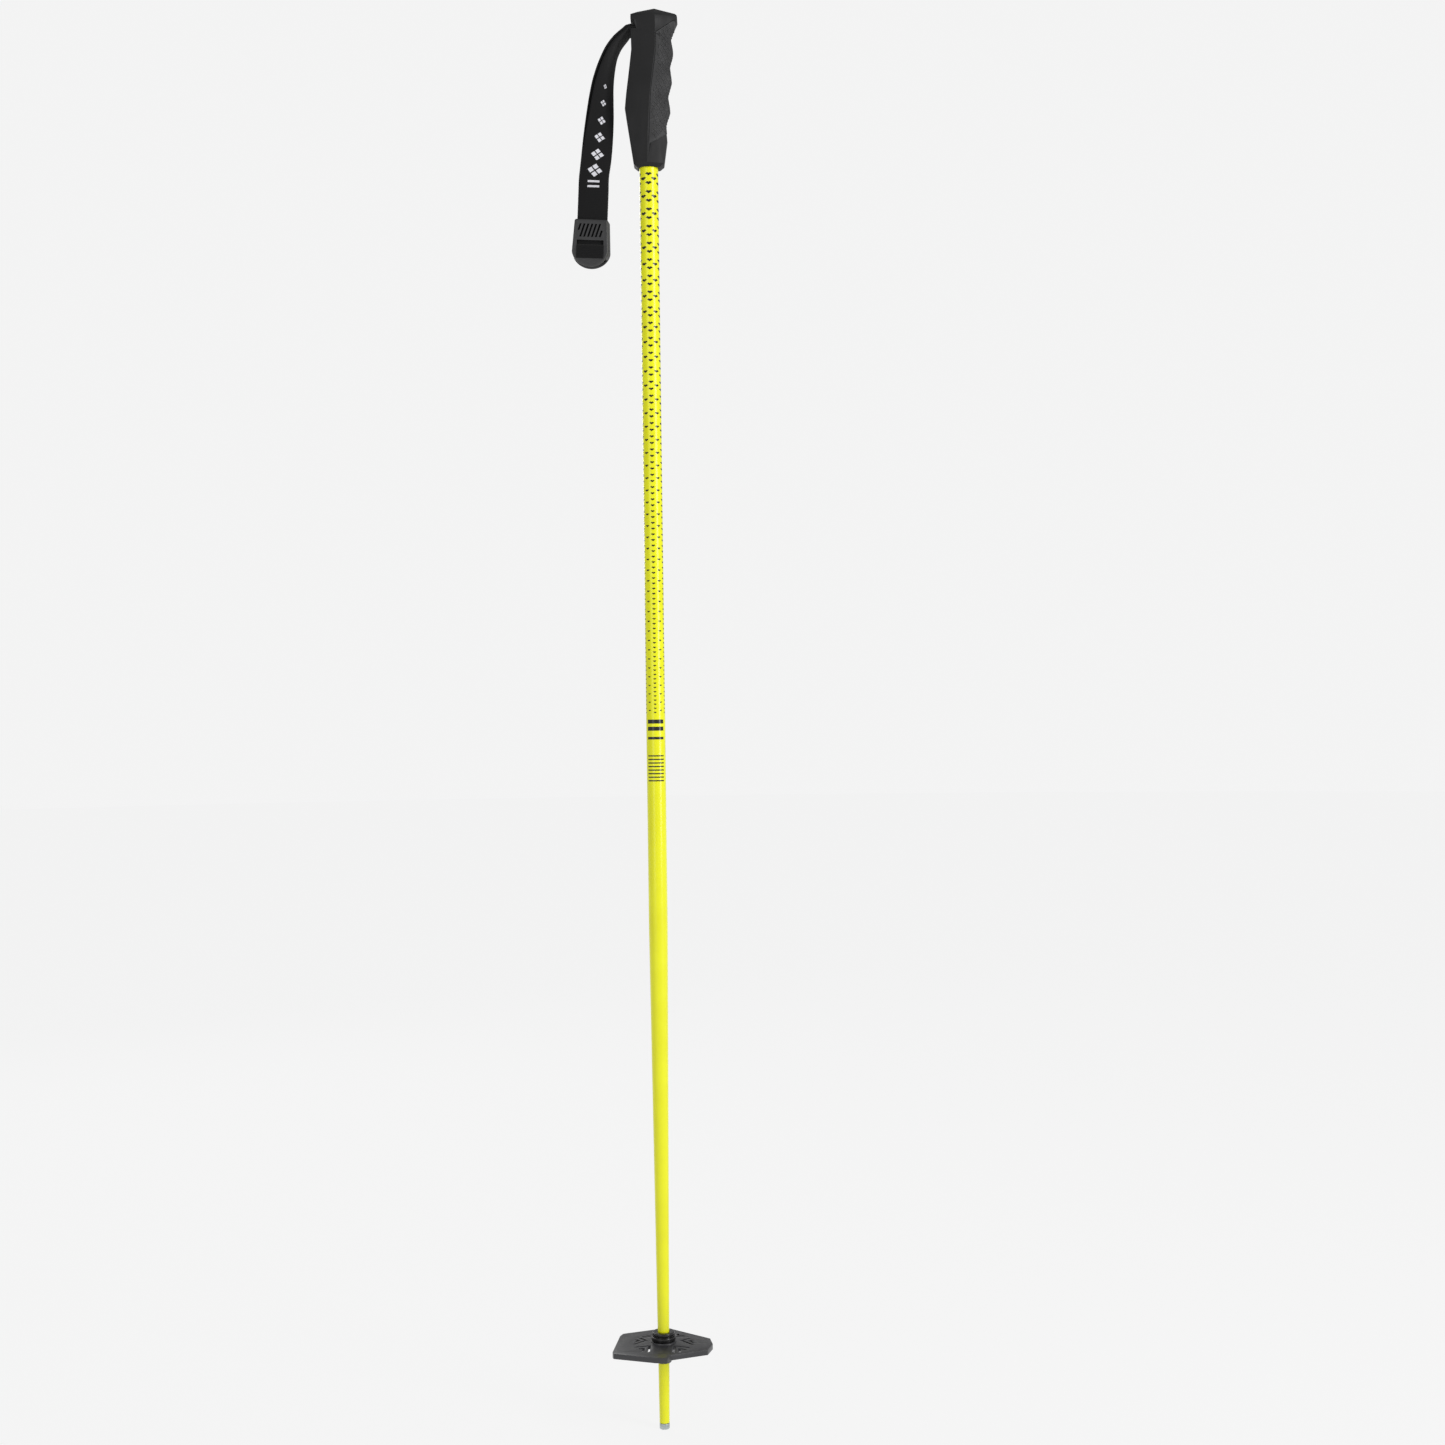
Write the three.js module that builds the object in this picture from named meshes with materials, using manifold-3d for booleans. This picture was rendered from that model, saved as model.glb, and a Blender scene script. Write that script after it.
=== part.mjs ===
// A ski pole: a tapered aluminium tube with a faceted two-part grip, a wrist strap with a sliding
// buckle, a six-sided snow basket and a steel tip with a hard insert.
// Millimetres, +Z up. The origin is the end of the tip. The strap hangs on the -X side of the grip
// and the fingers close round its +X side.

import * as THREE from 'three';
import { ConvexGeometry } from 'three/addons/geometries/ConvexGeometry.js';
import { mergeVertices } from 'three/addons/utils/BufferGeometryUtils.js';
import Module from 'manifold-3d';

const wasm = await Module();
wasm.setup();

// Driving dimensions
const POLE_LENGTH = 1200;
const GAP = 0.3; // clearance kept between neighbouring pieces
const DEG = Math.PI / 180;

const TUBE_RADIUS = 8;
const TUBE_WALL = 1.2;
const TUBE_BOTTOM = 5.3;
const TUBE_TOP = POLE_LENGTH - 35;
const TAPER_TOP = 427; // the tube is straight above this height
const TAPER_END_RADIUS = 4.25;
const TAPER_END_BORE = 2.75;

const GRIP_LENGTH = 132;
const GRIP_BOTTOM = POLE_LENGTH - GRIP_LENGTH;
const PAD_THICKNESS = 1.8;

const WEB_WIDTH = 25;
const WEB_THICKNESS = 1.6;

const SLOT_HALF_WIDTH = 12.8;
const SLOT_BOTTOM = POLE_LENGTH - 16.6;
const SLOT_TOP = POLE_LENGTH - 9.5;
const SLOT_LAYER_PITCH = 2.1; // between the middles of the two layers of webbing in the slot
const SLOT_LAYERS_MIDDLE = SLOT_BOTTOM + GAP + (WEB_THICKNESS + SLOT_LAYER_PITCH) / 2;
const DOWEL_RADIUS = 2.2;
const DOWEL_X = 6.5;

const STRAP_END = POLE_LENGTH - 205.5;
const STRAIGHT_TOP = POLE_LENGTH - 148; // below this height the strap is straight and flat
const STRAP_LEAN = 2.86 * DEG;
const LOOP_PITCH = 6.2; // between the middles of the two layers where the strap is straight

const BUCKLE_HEIGHT = 40;
const BUCKLE_DEPTH = 11.6;
const BUCKLE_CENTRE = new THREE.Vector3(-48.9, 0, POLE_LENGTH - 195.8);

const BASKET_RIM_TOP = 72.3;
const COLLAR_TOP = 82.5;

const TIP_TOP = 5;
const INSERT_RADIUS = 1.5;

// Geometry helpers

// A solid of revolution about Z; the profile is a list of [radius, height].
function turned(profile, sides = 48) {
  const points = profile.map(([radius, height]) => new THREE.Vector2(radius, height));
  return new THREE.LatheGeometry(points, sides).rotateX(Math.PI / 2);
}

function block(low, high) {
  const size = high.map((value, axis) => value - low[axis]);
  const centre = high.map((value, axis) => (value + low[axis]) / 2);
  return new THREE.BoxGeometry(...size).translate(...centre);
}

// An outline in the XZ plane, given depth along Y and centred on it.
function sideways(shape, depth) {
  const settings = { depth, bevelEnabled: false };
  return new THREE.ExtrudeGeometry(shape, settings).translate(0, 0, -depth / 2).rotateX(Math.PI / 2);
}

function outline(points) {
  return new THREE.Shape(points.map(([x, y]) => new THREE.Vector2(x, y)));
}

function solid(geometry) {
  const bare = new THREE.BufferGeometry();
  bare.setAttribute('position', geometry.getAttribute('position'));
  bare.setIndex(geometry.getIndex());
  const merged = mergeVertices(bare, 1e-4);
  const vertProperties = new Float32Array(merged.getAttribute('position').array);
  const triVerts = new Uint32Array(merged.getIndex().array);
  return new wasm.Manifold(new wasm.Mesh({ numProp: 3, vertProperties, triVerts }));
}

function geometryOf(body) {
  const { vertProperties, triVerts } = body.getMesh();
  const geometry = new THREE.BufferGeometry();
  geometry.setAttribute('position', new THREE.BufferAttribute(vertProperties, 3));
  geometry.setIndex(new THREE.BufferAttribute(triVerts, 1));
  geometry.computeVertexNormals();
  return geometry;
}

function subtractAll(body, cutters) {
  return cutters.reduce((left, cutter) => left.subtract(solid(cutter)), body);
}

function piece(name, geometry, look) {
  const mesh = new THREE.Mesh(geometry, new THREE.MeshStandardMaterial(look));
  mesh.name = name;
  return mesh;
}

const LOOKS = {
  yellowPaint: { color: 0xdfe012, roughness: 0.35, metalness: 0 },
  hardBlack: { color: 0x262626, roughness: 0.55, metalness: 0 },
  softBlack: { color: 0x3d3d3f, roughness: 0.8, metalness: 0 },
  webbing: { color: 0x1d1d1d, roughness: 0.95, metalness: 0 },
  buckleBlack: { color: 0x2c2c2c, roughness: 0.45, metalness: 0 },
  basketGrey: { color: 0x58585c, roughness: 0.6, metalness: 0 },
  glossBlack: { color: 0x141414, roughness: 0.2, metalness: 0 },
  steel: { color: 0xb7c4c8, roughness: 0.35, metalness: 1 },
  carbide: { color: 0x55585c, roughness: 0.4, metalness: 1 },
};

// Tube

function tubeRadius(height) {
  const share = Math.min(1, (TAPER_TOP - height) / (TAPER_TOP - TUBE_BOTTOM));
  return TUBE_RADIUS - Math.max(0, share) * (TUBE_RADIUS - TAPER_END_RADIUS);
}

function shaft() {
  const bore = TUBE_RADIUS - TUBE_WALL;
  const profile = [
    [TAPER_END_RADIUS, TUBE_BOTTOM],
    [TUBE_RADIUS, TAPER_TOP],
    [TUBE_RADIUS, TUBE_TOP],
    [bore, TUBE_TOP],
    [bore, TAPER_TOP],
    [TAPER_END_BORE, TUBE_BOTTOM],
    [TAPER_END_RADIUS, TUBE_BOTTOM],
  ];
  return piece('shaft', turned(profile, 64), LOOKS.yellowPaint);
}

// A push-in stopper that closes the tube under the grip.
function shaftPlug() {
  const stem = TUBE_RADIUS - TUBE_WALL - GAP;
  const seat = TUBE_TOP + GAP;
  const profile = [
    [0, seat - 22],
    [stem - 1, seat - 22],
    [stem, seat - 18],
    [stem, seat],
    [TUBE_RADIUS - 0.2, seat],
    [TUBE_RADIUS - 0.2, seat + 1.6],
    [0, seat + 1.6],
  ];
  return piece('shaft_plug', turned(profile, 32), LOOKS.hardBlack);
}

// Grip

// Sections across the grip, from the bottom up. Each is a hexagon: where its flat back, side ridge
// and flat front stand along X, and the half width of each along Y.
const GRIP_SECTIONS = [
  { rise: 0, back: -9.3, ridge: 0, front: 9.8, halfWidths: [6, 9.6, 6] },
  { rise: 3, back: -12.5, ridge: -0.8, front: 13.1, halfWidths: [7, 12, 7] },
  { rise: 24.4, back: -15.7, ridge: -0.3, front: 16.1, halfWidths: [8, 13.2, 6.5] },
  { rise: 37.8, back: -17.7, ridge: 0.5, front: 14.8, halfWidths: [8.6, 14.2, 6] },
  { rise: 48.6, back: -19.2, ridge: 1.2, front: 18.7, halfWidths: [9, 14.8, 6.5] },
  { rise: 61.6, back: -17.9, ridge: 2.2, front: 16.6, halfWidths: [9.4, 15, 6.2] },
  { rise: 73.7, back: -16.2, ridge: 3.8, front: 20.2, halfWidths: [10, 15, 6.8] },
  { rise: 86.7, back: -14.5, ridge: 5.4, front: 18.5, halfWidths: [10.6, 14.8, 6.4] },
  { rise: 97.9, back: -13.1, ridge: 7, front: 21.7, halfWidths: [11.2, 14.8, 7] },
  { rise: 110.9, back: -13.3, ridge: 7.2, front: 19.4, halfWidths: [12, 14.9, 7] },
  { rise: 125.6, back: -13.4, ridge: 7.2, front: 25.8, halfWidths: [12.5, 15.2, 8.5] },
  { rise: 127.3, back: -13.3, ridge: 7.2, front: 25.4, halfWidths: [12.3, 15, 8.3] },
];

// The low roof over the top section: points along its middle, with their half widths.
const GRIP_CROWN = [
  { x: -7.8, rise: 130, halfWidth: 9.5 },
  { x: 6.5, rise: GRIP_LENGTH, halfWidth: 11 },
  { x: 23.7, rise: 129.1, halfWidth: 6.5 },
];

function mirroredPair(x, halfWidth, rise) {
  const height = GRIP_BOTTOM + rise;
  return [new THREE.Vector3(x, halfWidth, height), new THREE.Vector3(x, -halfWidth, height)];
}

function sectionPoints({ rise, back, ridge, front, halfWidths }, inset) {
  return [
    ...mirroredPair(back + inset, halfWidths[0] - inset / 2, rise),
    ...mirroredPair(ridge, halfWidths[1] - inset, rise),
    ...mirroredPair(front - inset, halfWidths[2] - inset / 2, rise),
  ];
}

// The grip's outer form, or the same form with its sides set inward.
function gripForm(inset = 0) {
  const rings = GRIP_SECTIONS.map((section) => sectionPoints(section, inset));
  const crown = GRIP_CROWN.flatMap(({ x, rise, halfWidth }) => mirroredPair(x, halfWidth, rise));
  rings.push(crown);
  const layers = rings.slice(1).map((ring, index) => solid(new ConvexGeometry([...rings[index], ...ring])));
  return layers.reduce((left, right) => left.add(right));
}

// The part of the grip that the soft pad covers, as seen from the side.
function padZone(grow = 0) {
  const reach = 40;
  const points = [
    [0.9 - grow, 18 - grow],
    [3 - grow, 61.6],
    [7.9 - grow, 97.9],
    [7.9 - grow, 111 + grow],
    [22, 122 + grow],
    [reach, 122 + grow],
    [reach, 43 - grow],
  ];
  return solid(sideways(outline(points), 2 * reach).translate(0, 0, GRIP_BOTTOM));
}

function gripBody() {
  const boreTop = TUBE_TOP + 3.5;
  const bore = turned([
    [0, GRIP_BOTTOM - 10],
    [TUBE_RADIUS + GAP, GRIP_BOTTOM - 10],
    [TUBE_RADIUS + GAP, boreTop],
    [0, boreTop],
  ]);
  const slot = block([-30, -SLOT_HALF_WIDTH, SLOT_BOTTOM], [-1, SLOT_HALF_WIDTH, SLOT_TOP]);
  const pocketReach = DOWEL_RADIUS + WEB_THICKNESS + 2 * GAP;
  const pocket = block(
    [-1.5, -SLOT_HALF_WIDTH, SLOT_LAYERS_MIDDLE - pocketReach - GAP],
    [DOWEL_X + pocketReach + GAP, SLOT_HALF_WIDTH, SLOT_TOP],
  );
  const recess = padZone(GAP).subtract(gripForm(PAD_THICKNESS + GAP));
  const body = subtractAll(gripForm(), [bore, slot, pocket]).subtract(recess);
  return piece('grip_body', geometryOf(body), LOOKS.hardBlack);
}

function gripFrontPad() {
  const skin = gripForm().intersect(padZone()).subtract(gripForm(PAD_THICKNESS));
  return piece('grip_front_pad', geometryOf(skin), LOOKS.softBlack);
}

// Strap

// Webbing follows a curve in the XZ plane. twistAt gives the angle of its width at a height:
// 0 across the pole, a quarter turn along Y.
class WebbingPath extends THREE.CatmullRomCurve3 {
  constructor(points, twistAt = () => Math.PI / 2) {
    super(points, false, 'centripetal');
    this.twistAt = twistAt;
  }

  frameAt(u) {
    const along = new THREE.Vector3(0, 1, 0);
    const tangent = this.getTangentAt(u);
    const twist = this.twistAt(this.getPointAt(u).z);
    const across = new THREE.Vector3().crossVectors(tangent, along).normalize();
    const width = across.multiplyScalar(Math.cos(twist)).addScaledVector(along, Math.sin(twist));
    width.addScaledVector(tangent, -width.dot(tangent)).normalize();
    const face = new THREE.Vector3().crossVectors(tangent, width);
    return { tangent, width, face };
  }

  computeFrenetFrames(segments) {
    const frames = Array.from({ length: segments + 1 }, (_, index) => this.frameAt(index / segments));
    return {
      tangents: frames.map((frame) => frame.tangent),
      normals: frames.map((frame) => frame.width),
      binormals: frames.map((frame) => frame.face),
    };
  }
}

function webbing(path, steps, width = WEB_WIDTH) {
  const x = width / 2;
  const y = WEB_THICKNESS / 2;
  const section = outline([[-x, -y], [x, -y], [x, y], [-x, y]]);
  return new THREE.ExtrudeGeometry(section, { steps, extrudePath: path, bevelEnabled: false });
}

// 0 where the strap is straight, 1 where it leaves the grip.
function riseShare(height) {
  return THREE.MathUtils.clamp((height - STRAIGHT_TOP) / (SLOT_LAYERS_MIDDLE - STRAIGHT_TOP), 0, 1);
}

// The strap starts to turn gently, then turns evenly up to a quarter turn at the grip.
function strapTwist(height) {
  const share = riseShare(height);
  const ease = 0.05;
  return (Math.PI / 2) * (1 + ease) * share * share / (share + ease);
}

function layerPitch(height) {
  return THREE.MathUtils.lerp(LOOP_PITCH, SLOT_LAYER_PITCH, riseShare(height));
}

// Middle line between the two layers outside the grip, as [x, drop below the top of the pole]. Below
// the last point the strap runs straight down to its end.
const STRAP_ROUTE = [
  [-16.3, 15.1],
  [-18.9, 18],
  [-22.5, 21.6],
  [-26.3, 26.2],
  [-30.9, 34.4],
  [-34.9, 46.7],
  [-37.7, 59.5],
  [-39.3, 72.3],
  [-40.9, 89.5],
  [-42.6, 106.2],
  [-44.4, 123],
];

function straightPoint(height) {
  const drop = BUCKLE_CENTRE.z - height;
  return new THREE.Vector3(BUCKLE_CENTRE.x - drop * Math.tan(STRAP_LEAN), 0, height);
}

function strapMiddle() {
  const hanging = STRAP_ROUTE.map(([x, drop]) => new THREE.Vector3(x, 0, POLE_LENGTH - drop));
  const runs = 5;
  for (let index = 0; index <= runs; index += 1) {
    const height = THREE.MathUtils.lerp(STRAIGHT_TOP + 10, STRAP_END, index / runs);
    hanging.push(straightPoint(height));
  }
  return new WebbingPath(hanging, strapTwist);
}

// side is 1 for the layer whose face is seen with the fingers' side on the right, -1 for the other.
function strapLayer(name, side) {
  const middle = strapMiddle();
  const stations = 48;
  const points = [];
  for (let index = 0; index <= stations; index += 1) {
    const point = middle.getPointAt(index / stations);
    const { face } = middle.frameAt(index / stations);
    points.push(point.clone().addScaledVector(face, side * layerPitch(point.z) / 2));
  }
  return piece(name, webbing(new WebbingPath(points, strapTwist), 60), LOOKS.webbing);
}

// The folded end of the webbing that goes round the dowel inside the head of the grip.
function strapAnchorWeb() {
  const upper = SLOT_LAYERS_MIDDLE + SLOT_LAYER_PITCH / 2;
  const lower = SLOT_LAYERS_MIDDLE - SLOT_LAYER_PITCH / 2;
  const turnRadius = DOWEL_RADIUS + GAP + WEB_THICKNESS / 2;
  const mouth = -13.2;
  const points = [[mouth, upper], [-8, upper], [-2.5, upper]];
  for (const angle of [110, 60, 0, -60, -110]) {
    const x = DOWEL_X + turnRadius * Math.cos(angle * DEG);
    points.push([x, SLOT_LAYERS_MIDDLE + turnRadius * Math.sin(angle * DEG)]);
  }
  points.push([-2.5, lower], [-8, lower], [mouth, lower]);
  const path = new WebbingPath(points.map(([x, z]) => new THREE.Vector3(x, 0, z)));
  return piece('strap_anchor_web', webbing(path, 44), LOOKS.webbing);
}

function strapDowel() {
  const dowel = new THREE.CylinderGeometry(DOWEL_RADIUS, DOWEL_RADIUS, WEB_WIDTH - 0.2, 24);
  return piece('strap_dowel', dowel.translate(DOWEL_X, 0, SLOT_LAYERS_MIDDLE), LOOKS.steel);
}

// A toothed wedge that jams the webbing in the slot.
function strapWedge() {
  const low = SLOT_LAYERS_MIDDLE + (SLOT_LAYER_PITCH + WEB_THICKNESS) / 2 + GAP;
  const high = SLOT_TOP - GAP;
  const from = -10.2;
  const toothPitch = 2;
  const teeth = 3;
  const points = [[from, high], [from, low]];
  for (let index = 0; index < teeth; index += 1) {
    const x = from + toothPitch * (index + 1);
    points.push([x - toothPitch / 4, low], [x, low + 0.5], [x, low]);
  }
  points.push([from + toothPitch * teeth + 1, low + 0.6], [from + toothPitch * teeth + 1, high]);
  const wedge = sideways(outline(points), 2 * SLOT_HALF_WIDTH - 2 * GAP);
  return piece('strap_wedge', wedge, LOOKS.hardBlack);
}

// Buckle, built upright round its own middle: X across, -Y outward, Z up

const BUCKLE_BORE_X = WEB_WIDTH / 2 + 0.4;
const BUCKLE_BORE_Y = (LOOP_PITCH + WEB_THICKNESS) / 2 + GAP;
const RAIL_BOTTOM = -11; // the side rails end here and the webbing can pass out between two lips
const WINDOW = { halfWidth: 11.7, low: -13.2, high: 2.2 };
const BAR_RADIUS = 1.9;
const BAR_HEIGHT = -5.7;
const BAR_HALF_LENGTH = 14.4;

function buckleOutline() {
  const top = BUCKLE_HEIGHT / 2;
  const shape = new THREE.Shape();
  shape.moveTo(-13, top);
  shape.bezierCurveTo(-14, top, -14.7, top - 0.7, -14.8, top - 1.8);
  shape.lineTo(-16.2, -7);
  shape.bezierCurveTo(-15.8, -13.5, -9, -top, 0, -top);
  shape.bezierCurveTo(9, -top, 15.8, -13.5, 16.2, -7);
  shape.lineTo(14.8, top - 1.8);
  shape.bezierCurveTo(14.7, top - 0.7, 14, top, 13, top);
  return shape;
}

// Slanted slots through the upper front plate; the first and last are short.
function buckleSlots() {
  const count = 7;
  const pitch = 3.4;
  const slotWidth = 1.7;
  const slant = 0.3;
  const [low, high] = [4.8, 16];
  const middle = (low + high) / 2;
  return Array.from({ length: count }, (_, index) => {
    const x = (index - (count - 1) / 2) * pitch;
    const from = index === 0 ? middle : low;
    const to = index === count - 1 ? middle : high;
    const [xFrom, xTo] = [x + slant * (from - middle), x + slant * (to - middle)];
    const slot = outline([
      [xFrom - slotWidth / 2, from],
      [xFrom + slotWidth / 2, from],
      [xTo + slotWidth / 2, to],
      [xTo - slotWidth / 2, to],
    ]);
    return sideways(slot, 4).translate(0, -BUCKLE_DEPTH / 2, 0);
  });
}

function strapBuckle() {
  const edge = buckleOutline().getPoints(8);
  const ring = (y, inset) => edge.map(({ x, y: z }) => {
    const shrink = 1 - inset / (BUCKLE_HEIGHT / 2);
    return new THREE.Vector3(x * shrink, y, z * shrink);
  });
  const blank = new ConvexGeometry([-1, 1].flatMap((side) => [
    ...ring(side * (BUCKLE_DEPTH / 2 - 2.8), 0),
    ...ring(side * (BUCKLE_DEPTH / 2 - 0.7), 1.5),
    ...ring(side * BUCKLE_DEPTH / 2, 2.8),
  ]));
  const far = BUCKLE_HEIGHT;
  const bore = block([-BUCKLE_BORE_X, -BUCKLE_BORE_Y, RAIL_BOTTOM], [BUCKLE_BORE_X, BUCKLE_BORE_Y, far]);
  const mouth = block([-far * 2, -BUCKLE_BORE_Y, -BUCKLE_HEIGHT], [far * 2, BUCKLE_BORE_Y, RAIL_BOTTOM + 0.01]);
  const { halfWidth, low, high } = WINDOW;
  const window = block([-halfWidth, -far, low], [halfWidth, far, high]);
  const barHole = new THREE.CylinderGeometry(
    BAR_RADIUS + GAP,
    BAR_RADIUS + GAP,
    2 * (BAR_HALF_LENGTH + GAP),
    24,
  );
  barHole.rotateZ(Math.PI / 2).translate(0, 0, BAR_HEIGHT);
  const body = subtractAll(solid(blank), [bore, mouth, window, barHole, ...buckleSlots()]);
  return piece('strap_buckle', geometryOf(body), LOOKS.buckleBlack);
}

function buckleBar() {
  const bar = new THREE.CylinderGeometry(BAR_RADIUS, BAR_RADIUS, 2 * BAR_HALF_LENGTH, 24);
  return piece('buckle_bar', bar.rotateZ(Math.PI / 2).translate(0, 0, BAR_HEIGHT), LOOKS.steel);
}

// The stretch of webbing that the bar pushes out into the buckle's window.
function strapBarBulge() {
  const half = (WINDOW.high - WINDOW.low) / 2 - GAP;
  const middle = (WINDOW.high + WINDOW.low) / 2;
  const foot = -BUCKLE_BORE_Y - 0.05;
  const crown = foot - 3.4;
  const shape = new THREE.Shape();
  shape.moveTo(foot, -half);
  shape.quadraticCurveTo(crown, -half * 0.9, crown, 0);
  shape.quadraticCurveTo(crown, half * 0.9, foot, half);
  shape.quadraticCurveTo(foot - 1.4, 0, foot, -half);
  const bulge = new THREE.ExtrudeGeometry(shape, {
    depth: 2 * (WINDOW.halfWidth - GAP),
    bevelEnabled: false,
    curveSegments: 10,
  });
  bulge.translate(0, 0, -(WINDOW.halfWidth - GAP));
  const turn = new THREE.Matrix4().makeBasis(
    new THREE.Vector3(0, 1, 0),
    new THREE.Vector3(0, 0, 1),
    new THREE.Vector3(1, 0, 0),
  );
  return piece('strap_bar_bulge', bulge.applyMatrix4(turn).translate(0, 0, middle), LOOKS.webbing);
}

function buckleGroup() {
  const group = new THREE.Group();
  group.add(strapBuckle(), buckleBar(), strapBarBulge());
  group.position.copy(BUCKLE_CENTRE);
  group.rotation.y = STRAP_LEAN;
  return group;
}

// Basket

const DECK_HEIGHT = 4.4;
const DECK_PLATE = 2.2;
const DECK_INNER_SHARE = 0.93; // how large the hollow under the plate is beside the outline
const CROWN_RISE = 1.6;
const HUB_RADIUS = 11;
const HUB_BOTTOM = 63.5;
const STEM_RADIUS = 7;
const STEM_BOTTOM = 56.6;
const COLLAR_SEAT = 75.2;

// The deck's six long sides and the short ones across its corners, as [x, y]. It is deeper behind the
// pole than in front of it, and its front corner is a short lip.
const DECK_OUTLINE = [
  [-35.6, 26],
  [-38, 19.7],
  [-42.1, -21.8],
  [-41, -25.4],
  [-5.5, -37.2],
  [4.4, -37.8],
  [7, -30.8],
  [37.6, -18.4],
  [41.7, -3.8],
  [39.3, 10.7],
  [2, 40.3],
];

function deckBlock(share, low, high) {
  const shape = outline(DECK_OUTLINE.map(([x, y]) => [x * share, y * share]));
  return new THREE.ExtrudeGeometry(shape, { depth: high - low, bevelEnabled: false }).translate(0, 0, low);
}

// A bent vent whose two arms open away from the hub.
function vent(tipRadius, arm, turn) {
  const width = 2.2;
  const sweep = 44 * DEG;
  const back = width / Math.sin(sweep);
  const x = tipRadius + arm * Math.cos(sweep);
  const y = arm * Math.sin(sweep);
  const shape = outline([
    [tipRadius, 0],
    [x, y],
    [x + back, y],
    [tipRadius + back, 0],
    [x + back, -y],
    [x, -y],
  ]);
  const cutter = new THREE.ExtrudeGeometry(shape, { depth: 30, bevelEnabled: false });
  return cutter.rotateZ(turn * DEG).translate(0, 0, 60);
}

function basketDeck() {
  const rimBottom = BASKET_RIM_TOP - DECK_HEIGHT;
  const plateBottom = BASKET_RIM_TOP - DECK_PLATE;
  const crown = turned([
    [0, plateBottom],
    [27, plateBottom],
    [27, BASKET_RIM_TOP],
    [13, BASKET_RIM_TOP + CROWN_RISE],
    [0, BASKET_RIM_TOP + CROWN_RISE],
  ]);
  const hub = turned([
    [0, HUB_BOTTOM],
    [HUB_RADIUS - 1.5, HUB_BOTTOM],
    [HUB_RADIUS, plateBottom],
    [HUB_RADIUS, COLLAR_SEAT - GAP],
    [0, COLLAR_SEAT - GAP],
  ]);
  const bore = turned([
    [0, HUB_BOTTOM - 5],
    [STEM_RADIUS + GAP, HUB_BOTTOM - 5],
    [STEM_RADIUS + GAP, COLLAR_TOP],
    [0, COLLAR_TOP],
  ]);
  const ventTurns = [8, 56, 118, 166, 222, 310];
  const vents = ventTurns.flatMap((turn) => [vent(13.6, 12.5, turn), vent(20.2, 5.5, turn)]);
  const shell = solid(deckBlock(1, rimBottom, BASKET_RIM_TOP))
    .subtract(solid(deckBlock(DECK_INNER_SHARE, rimBottom - 1, plateBottom)));
  const body = subtractAll(shell.add(solid(crown)).add(solid(hub)), [bore, ...vents]);
  return piece('basket_deck', geometryOf(body), LOOKS.basketGrey);
}

// Two stacked rings on a stem that grips the tapered tube and carries the deck.
function basketCollar() {
  const seat = COLLAR_SEAT;
  const profile = [
    [tubeRadius(STEM_BOTTOM) + GAP, STEM_BOTTOM],
    [STEM_RADIUS - 0.7, STEM_BOTTOM],
    [STEM_RADIUS, STEM_BOTTOM + 1.5],
    [STEM_RADIUS, seat],
    [9.9, seat],
    [10.35, seat + 0.5],
    [10.35, seat + 3.2],
    [9.9, seat + 3.7],
    [8.8, seat + 3.7],
    [8.8, seat + 4.3],
    [9.5, seat + 4.3],
    [9.5, COLLAR_TOP - 0.5],
    [9, COLLAR_TOP],
    [tubeRadius(COLLAR_TOP) + GAP, COLLAR_TOP],
    [tubeRadius(STEM_BOTTOM) + GAP, STEM_BOTTOM],
  ];
  return piece('basket_collar', turned(profile), LOOKS.glossBlack);
}

// A ring pressed on the stem under the hub, so the deck can turn but not drop off.
function basketRetainer() {
  const top = HUB_BOTTOM - GAP;
  const bottom = top - 2.6;
  const profile = [
    [STEM_RADIUS + GAP, bottom],
    [8.8, bottom],
    [9.3, bottom + 0.5],
    [9.3, top],
    [STEM_RADIUS + GAP, top],
    [STEM_RADIUS + GAP, bottom],
  ];
  return piece('basket_retainer', turned(profile), LOOKS.glossBlack);
}

// Tip

function tipFerrule() {
  const radius = TAPER_END_RADIUS;
  const rim = 0.25;
  const bore = INSERT_RADIUS + GAP;
  const stem = TAPER_END_BORE - GAP;
  const insertTop = 12 + GAP;
  const turnedForm = solid(turned([
    [0, insertTop],
    [bore, insertTop],
    [bore, 1.3],
    [radius - 1, rim],
    [radius - 0.4, rim],
    [radius, rim + 0.6],
    [radius, TIP_TOP],
    [stem, TIP_TOP],
    [stem, 28],
    [stem - 0.8, 30],
    [0, 30],
  ]));
  const teeth = 8;
  const notches = Array.from({ length: teeth }, (_, index) => {
    const notch = new THREE.CylinderGeometry(0.55, 0.55, 3, 4);
    return notch.rotateZ(Math.PI / 2).translate(radius, 0, 0.1).rotateZ((index / teeth) * 2 * Math.PI);
  });
  return piece('tip_ferrule', geometryOf(subtractAll(turnedForm, notches)), LOOKS.steel);
}

function carbideInsert() {
  const profile = [
    [0, 0],
    [INSERT_RADIUS - 0.3, 0],
    [INSERT_RADIUS, 0.3],
    [INSERT_RADIUS, 12],
    [0, 12],
  ];
  return piece('carbide_insert', turned(profile, 32), LOOKS.carbide);
}

// Assembly

const pole = new THREE.Group();
pole.add(
  shaft(),
  shaftPlug(),
  gripBody(),
  gripFrontPad(),
  strapAnchorWeb(),
  strapDowel(),
  strapWedge(),
  strapLayer('strap_near_web', 1),
  strapLayer('strap_far_web', -1),
  buckleGroup(),
  basketDeck(),
  basketCollar(),
  basketRetainer(),
  tipFerrule(),
  carbideInsert(),
);

export default pole;
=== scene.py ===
import math

import bmesh
import bpy
from mathutils import Matrix, Vector
from mathutils.bvhtree import BVHTree
from mathutils.geometry import interpolate_bezier


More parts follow.
